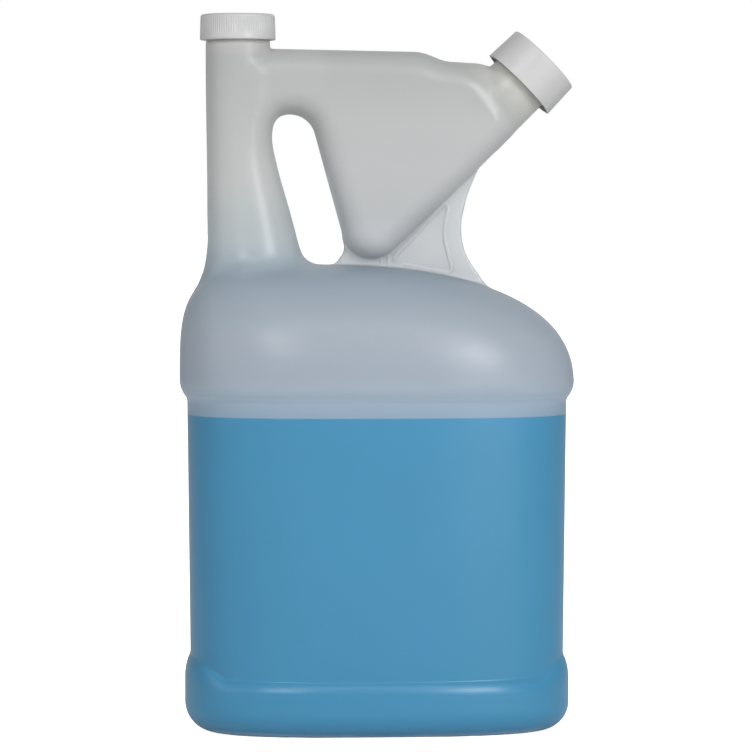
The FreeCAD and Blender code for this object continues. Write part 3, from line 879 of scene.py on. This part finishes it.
def plain_plastic(name, colour, roughness):
    """Opaque plastic or foam with a fine grain, lit a little from behind."""
    n = Nodes(name)
    coords = n.add("TexCoord").outputs["Object"]
    bump = n.add("Bump", {"Height": n.noise(coords, 900.0, 3.0), "Strength": 0.06, "Distance": 0.0002})
    rough = n.spread(n.noise(coords, 60.0, 2.0), roughness - 0.05, roughness + 0.07)
    shader = n.add("BsdfPrincipled", {"Base Color": colour, "Roughness": rough,
                                      "Normal": bump.outputs["Normal"], "IOR": 1.49})
    glow = n.add("BsdfTranslucent", {"Color": colour})
    return n.surface(n.shader_mix(0.25, shader, glow))


def milky_plastic(name, see_through):
    """Natural polyethylene: milky where air is behind it, blue where the detergent touches it, with painted
    light in its colours.
    """
    n = Nodes(name)
    coords = n.add("TexCoord").outputs["Object"]
    axes = n.add("SeparateXYZ", {"Vector": coords})
    x, y, height = axes.outputs["X"], axes.outputs["Y"], axes.outputs["Z"]
    cloud = n.noise(coords, 22.0, 3.0)
    level = n.math("ADD", height, n.spread(n.noise(coords, 90.0, 2.0), -LEVEL_WOBBLE, LEVEL_WOBBLE))
    wet = n.rise(level, *WET_EDGE)

    spout_side = n.rise(x, *SPOUT_SIDE)
    web = n.math("MULTIPLY", n.rise(n.math("ABSOLUTE", y), *WEB_MIDDLE), n.rise(height, *WEB_TOP))
    web = n.math("MULTIPLY", n.math("MULTIPLY", web, spout_side), n.rise(height, *WEB_FOOT))
    from_crest = n.math("POWER", n.math("ADD", x, -CREST_X), 2.0)
    over_crest = n.rise(n.math("MULTIPLY_ADD", from_crest, CREST_CURVE, height), *CREST_EDGE)
    chamber = n.math("MULTIPLY", over_crest, spout_side)
    finish = n.rise(n.math("ADD", x, height), *UNDER_CAP_LIGHT_EDGE)

    # These colours carry painted light: blue light over the dome, a crease highlight line, lifted shade under
    # the caps and the chamber, and a web lit from behind.
    up = n.rise(height, *RAMP_HEIGHTS)
    air_colour = n.colour_mix(finish, n.ramp(up, AIR_WITH_PAINTED_LIGHT), UNDER_CAP_PAINTED_LIGHT)
    colour = n.colour_mix(chamber, n.ramp(up, DRY_WITH_PAINTED_LIGHT), air_colour)
    colour = n.colour_mix(web, colour, WEB_PAINTED_GLOW)
    colour = n.colour_mix(wet, colour, WET)
    shade = n.add("MapRange", {"Value": cloud, "From Min": 0.3, "From Max": 0.7, "To Min": 0.97,
                               "To Max": 1.0}).outputs["Result"]
    colour = n.colour_mix(1.0, colour, shade, blend_type="MULTIPLY")

    bump = n.add("Bump", {"Height": n.noise(coords, 700.0, 2.0), "Strength": 0.05, "Distance": 0.0003})
    body = n.add("BsdfPrincipled", {"Base Color": colour, "Roughness": 0.30, "IOR": 1.5,
                                    "Normal": bump.outputs["Normal"]})
    glow = n.add("BsdfTranslucent", {"Color": colour})
    milky = n.shader_mix(n.number_mix(wet, TRANSLUCENT_DRY, TRANSLUCENT_WET), body, glow)
    clear = n.add("BsdfTransparent", {"Color": (1, 1, 1, 1)})
    dry_share = n.spread(cloud, see_through["low"], see_through["high"])
    return n.surface(n.shader_mix(n.number_mix(wet, dry_share, see_through["wet"]), milky, clear))


def blue_liquid(name):
    n = Nodes(name)
    return n.surface(n.add("BsdfPrincipled", {"Base Color": LIQUID_BLUE, "Roughness": 0.12, "IOR": 1.34}))


def repaint(node, material):
    """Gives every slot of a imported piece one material."""
    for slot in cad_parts[node].material_slots:
        slot.material = material


skin = build_bottle()
skin.data.materials.append(milky_plastic("natural_hdpe_outer", OUTER_SEE_THROUGH))
skin.data.materials.append(milky_plastic("natural_hdpe_inner", INNER_SEE_THROUGH))
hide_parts("bottle")
liquid = build_detergent()
liquid.data.materials.append(blue_liquid("blue_detergent"))
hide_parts("detergent")

white = plain_plastic("white_cap", CAP_WHITE, 0.36)
foam = plain_plastic("liner_foam", FOAM_WHITE, 0.8)
fill_cap = build_fill_cap()
fill_cap.data.materials.append(white)
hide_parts("fill_cap")
repaint("dosing_cap_outer", white)
repaint("dosing_cap_inner", white)
repaint("fill_cap_liner", foam)
repaint("dosing_cap_liner", foam)

# ---------------------------------------------------------------------------
# Stage, light and camera, in metres and watts
# ---------------------------------------------------------------------------
FLOOR_HALF = 30
FLOOR_GLOW = (0.05, 0.9)     # as a light, and as the camera sees it
WORLD_STRENGTH = (0.45, 1.0)
AIM = (0, 0, 0.17)
LIGHTS = [  # name, place, aim, size, power
    ("right_box", (0.86, -1.55, 0.92), AIM, (0.75, 0.95), 18),
    ("right_core", (0.84, -1.52, 0.90), AIM, (0.42, 0.55), 6),
    ("left_box", (-0.72, -1.60, 1.05), AIM, (0.5, 0.65), 10.5),
    ("left_fill", (-1.8, -0.7, 0.8), AIM, (1.2, 1.2), 6.5),
    ("low_fill", (1.05, -1.35, 0.14), (0.02, 0, 0.2), (1.1, 0.5), 3.8),
    ("back_box", (0.2, 2.1, 1.2), AIM, (2.2, 1.6), 5.5),
    ("strip", (0.1, -1.2, 1.45), AIM, (1.6, 0.22), 6)]
CAMERA_LENS = 200.9
CAMERA_AZIMUTH = math.radians(-4.0)
CAMERA_DISTANCE = 2.02
CAMERA_HEIGHT = 0.253
CAMERA_TARGET = Vector((-0.0002, 0.0, 0.1690))


def white_floor():
    """A floor that the camera sees as almost pure white."""
    mesh = bpy.data.meshes.new("floor")
    r = FLOOR_HALF
    mesh.from_pydata([(-r, -r, 0), (r, -r, 0), (r, r, 0), (-r, r, 0)], [], [(0, 1, 2, 3)])
    floor = bpy.data.objects.new("floor", mesh)
    bpy.context.scene.collection.objects.link(floor)
    n = Nodes("floor_white")
    matt = n.add("BsdfDiffuse", {"Color": (0.8, 0.8, 0.8, 1)})
    strength = n.spread(n.add("LightPath").outputs["Is Camera Ray"], *FLOOR_GLOW)
    lift = n.add("Emission", {"Color": (1, 1, 1, 1), "Strength": strength})
    mesh.materials.append(n.surface(n.add("AddShader", {0: matt.outputs[0], 1: lift.outputs[0]})))
    return floor


def white_world():
    """White behind the object, and a dimmer white light from all around."""
    world = bpy.data.worlds.new("studio")
    bpy.context.scene.world = world
    world.use_nodes = True
    tree = world.node_tree
    background = tree.nodes["Background"]
    background.inputs["Color"].default_value = (1, 1, 1, 1)
    seen = tree.nodes.new("ShaderNodeLightPath")
    strength = tree.nodes.new("ShaderNodeMapRange")
    strength.inputs["To Min"].default_value, strength.inputs["To Max"].default_value = WORLD_STRENGTH
    tree.links.new(seen.outputs["Is Camera Ray"], strength.inputs["Value"])
    tree.links.new(strength.outputs["Result"], background.inputs["Strength"])


def area_light(name, place, aim, size, power):
    data = bpy.data.lights.new(name, "AREA")
    data.shape = "RECTANGLE"
    data.size, data.size_y = size
    data.energy = power
    light = bpy.data.objects.new(name, data)
    light.location = place
    light.rotation_euler = (Vector(aim) - Vector(place)).to_track_quat("-Z", "Y").to_euler()
    bpy.context.scene.collection.objects.link(light)


def place_camera():
    data = bpy.data.cameras.new("camera")
    data.sensor_width = 36.0
    data.lens = CAMERA_LENS
    camera = bpy.data.objects.new("camera", data)
    bpy.context.scene.collection.objects.link(camera)
    bpy.context.scene.camera = camera
    camera.location = Vector((math.sin(CAMERA_AZIMUTH) * CAMERA_DISTANCE,
                              -math.cos(CAMERA_AZIMUTH) * CAMERA_DISTANCE, CAMERA_HEIGHT))
    camera.rotation_euler = (CAMERA_TARGET - camera.location).to_track_quat("-Z", "Y").to_euler()


white_floor()
white_world()
bpy.context.scene.view_settings.view_transform = "Standard"
for row in LIGHTS:
    area_light(*row)
place_camera()
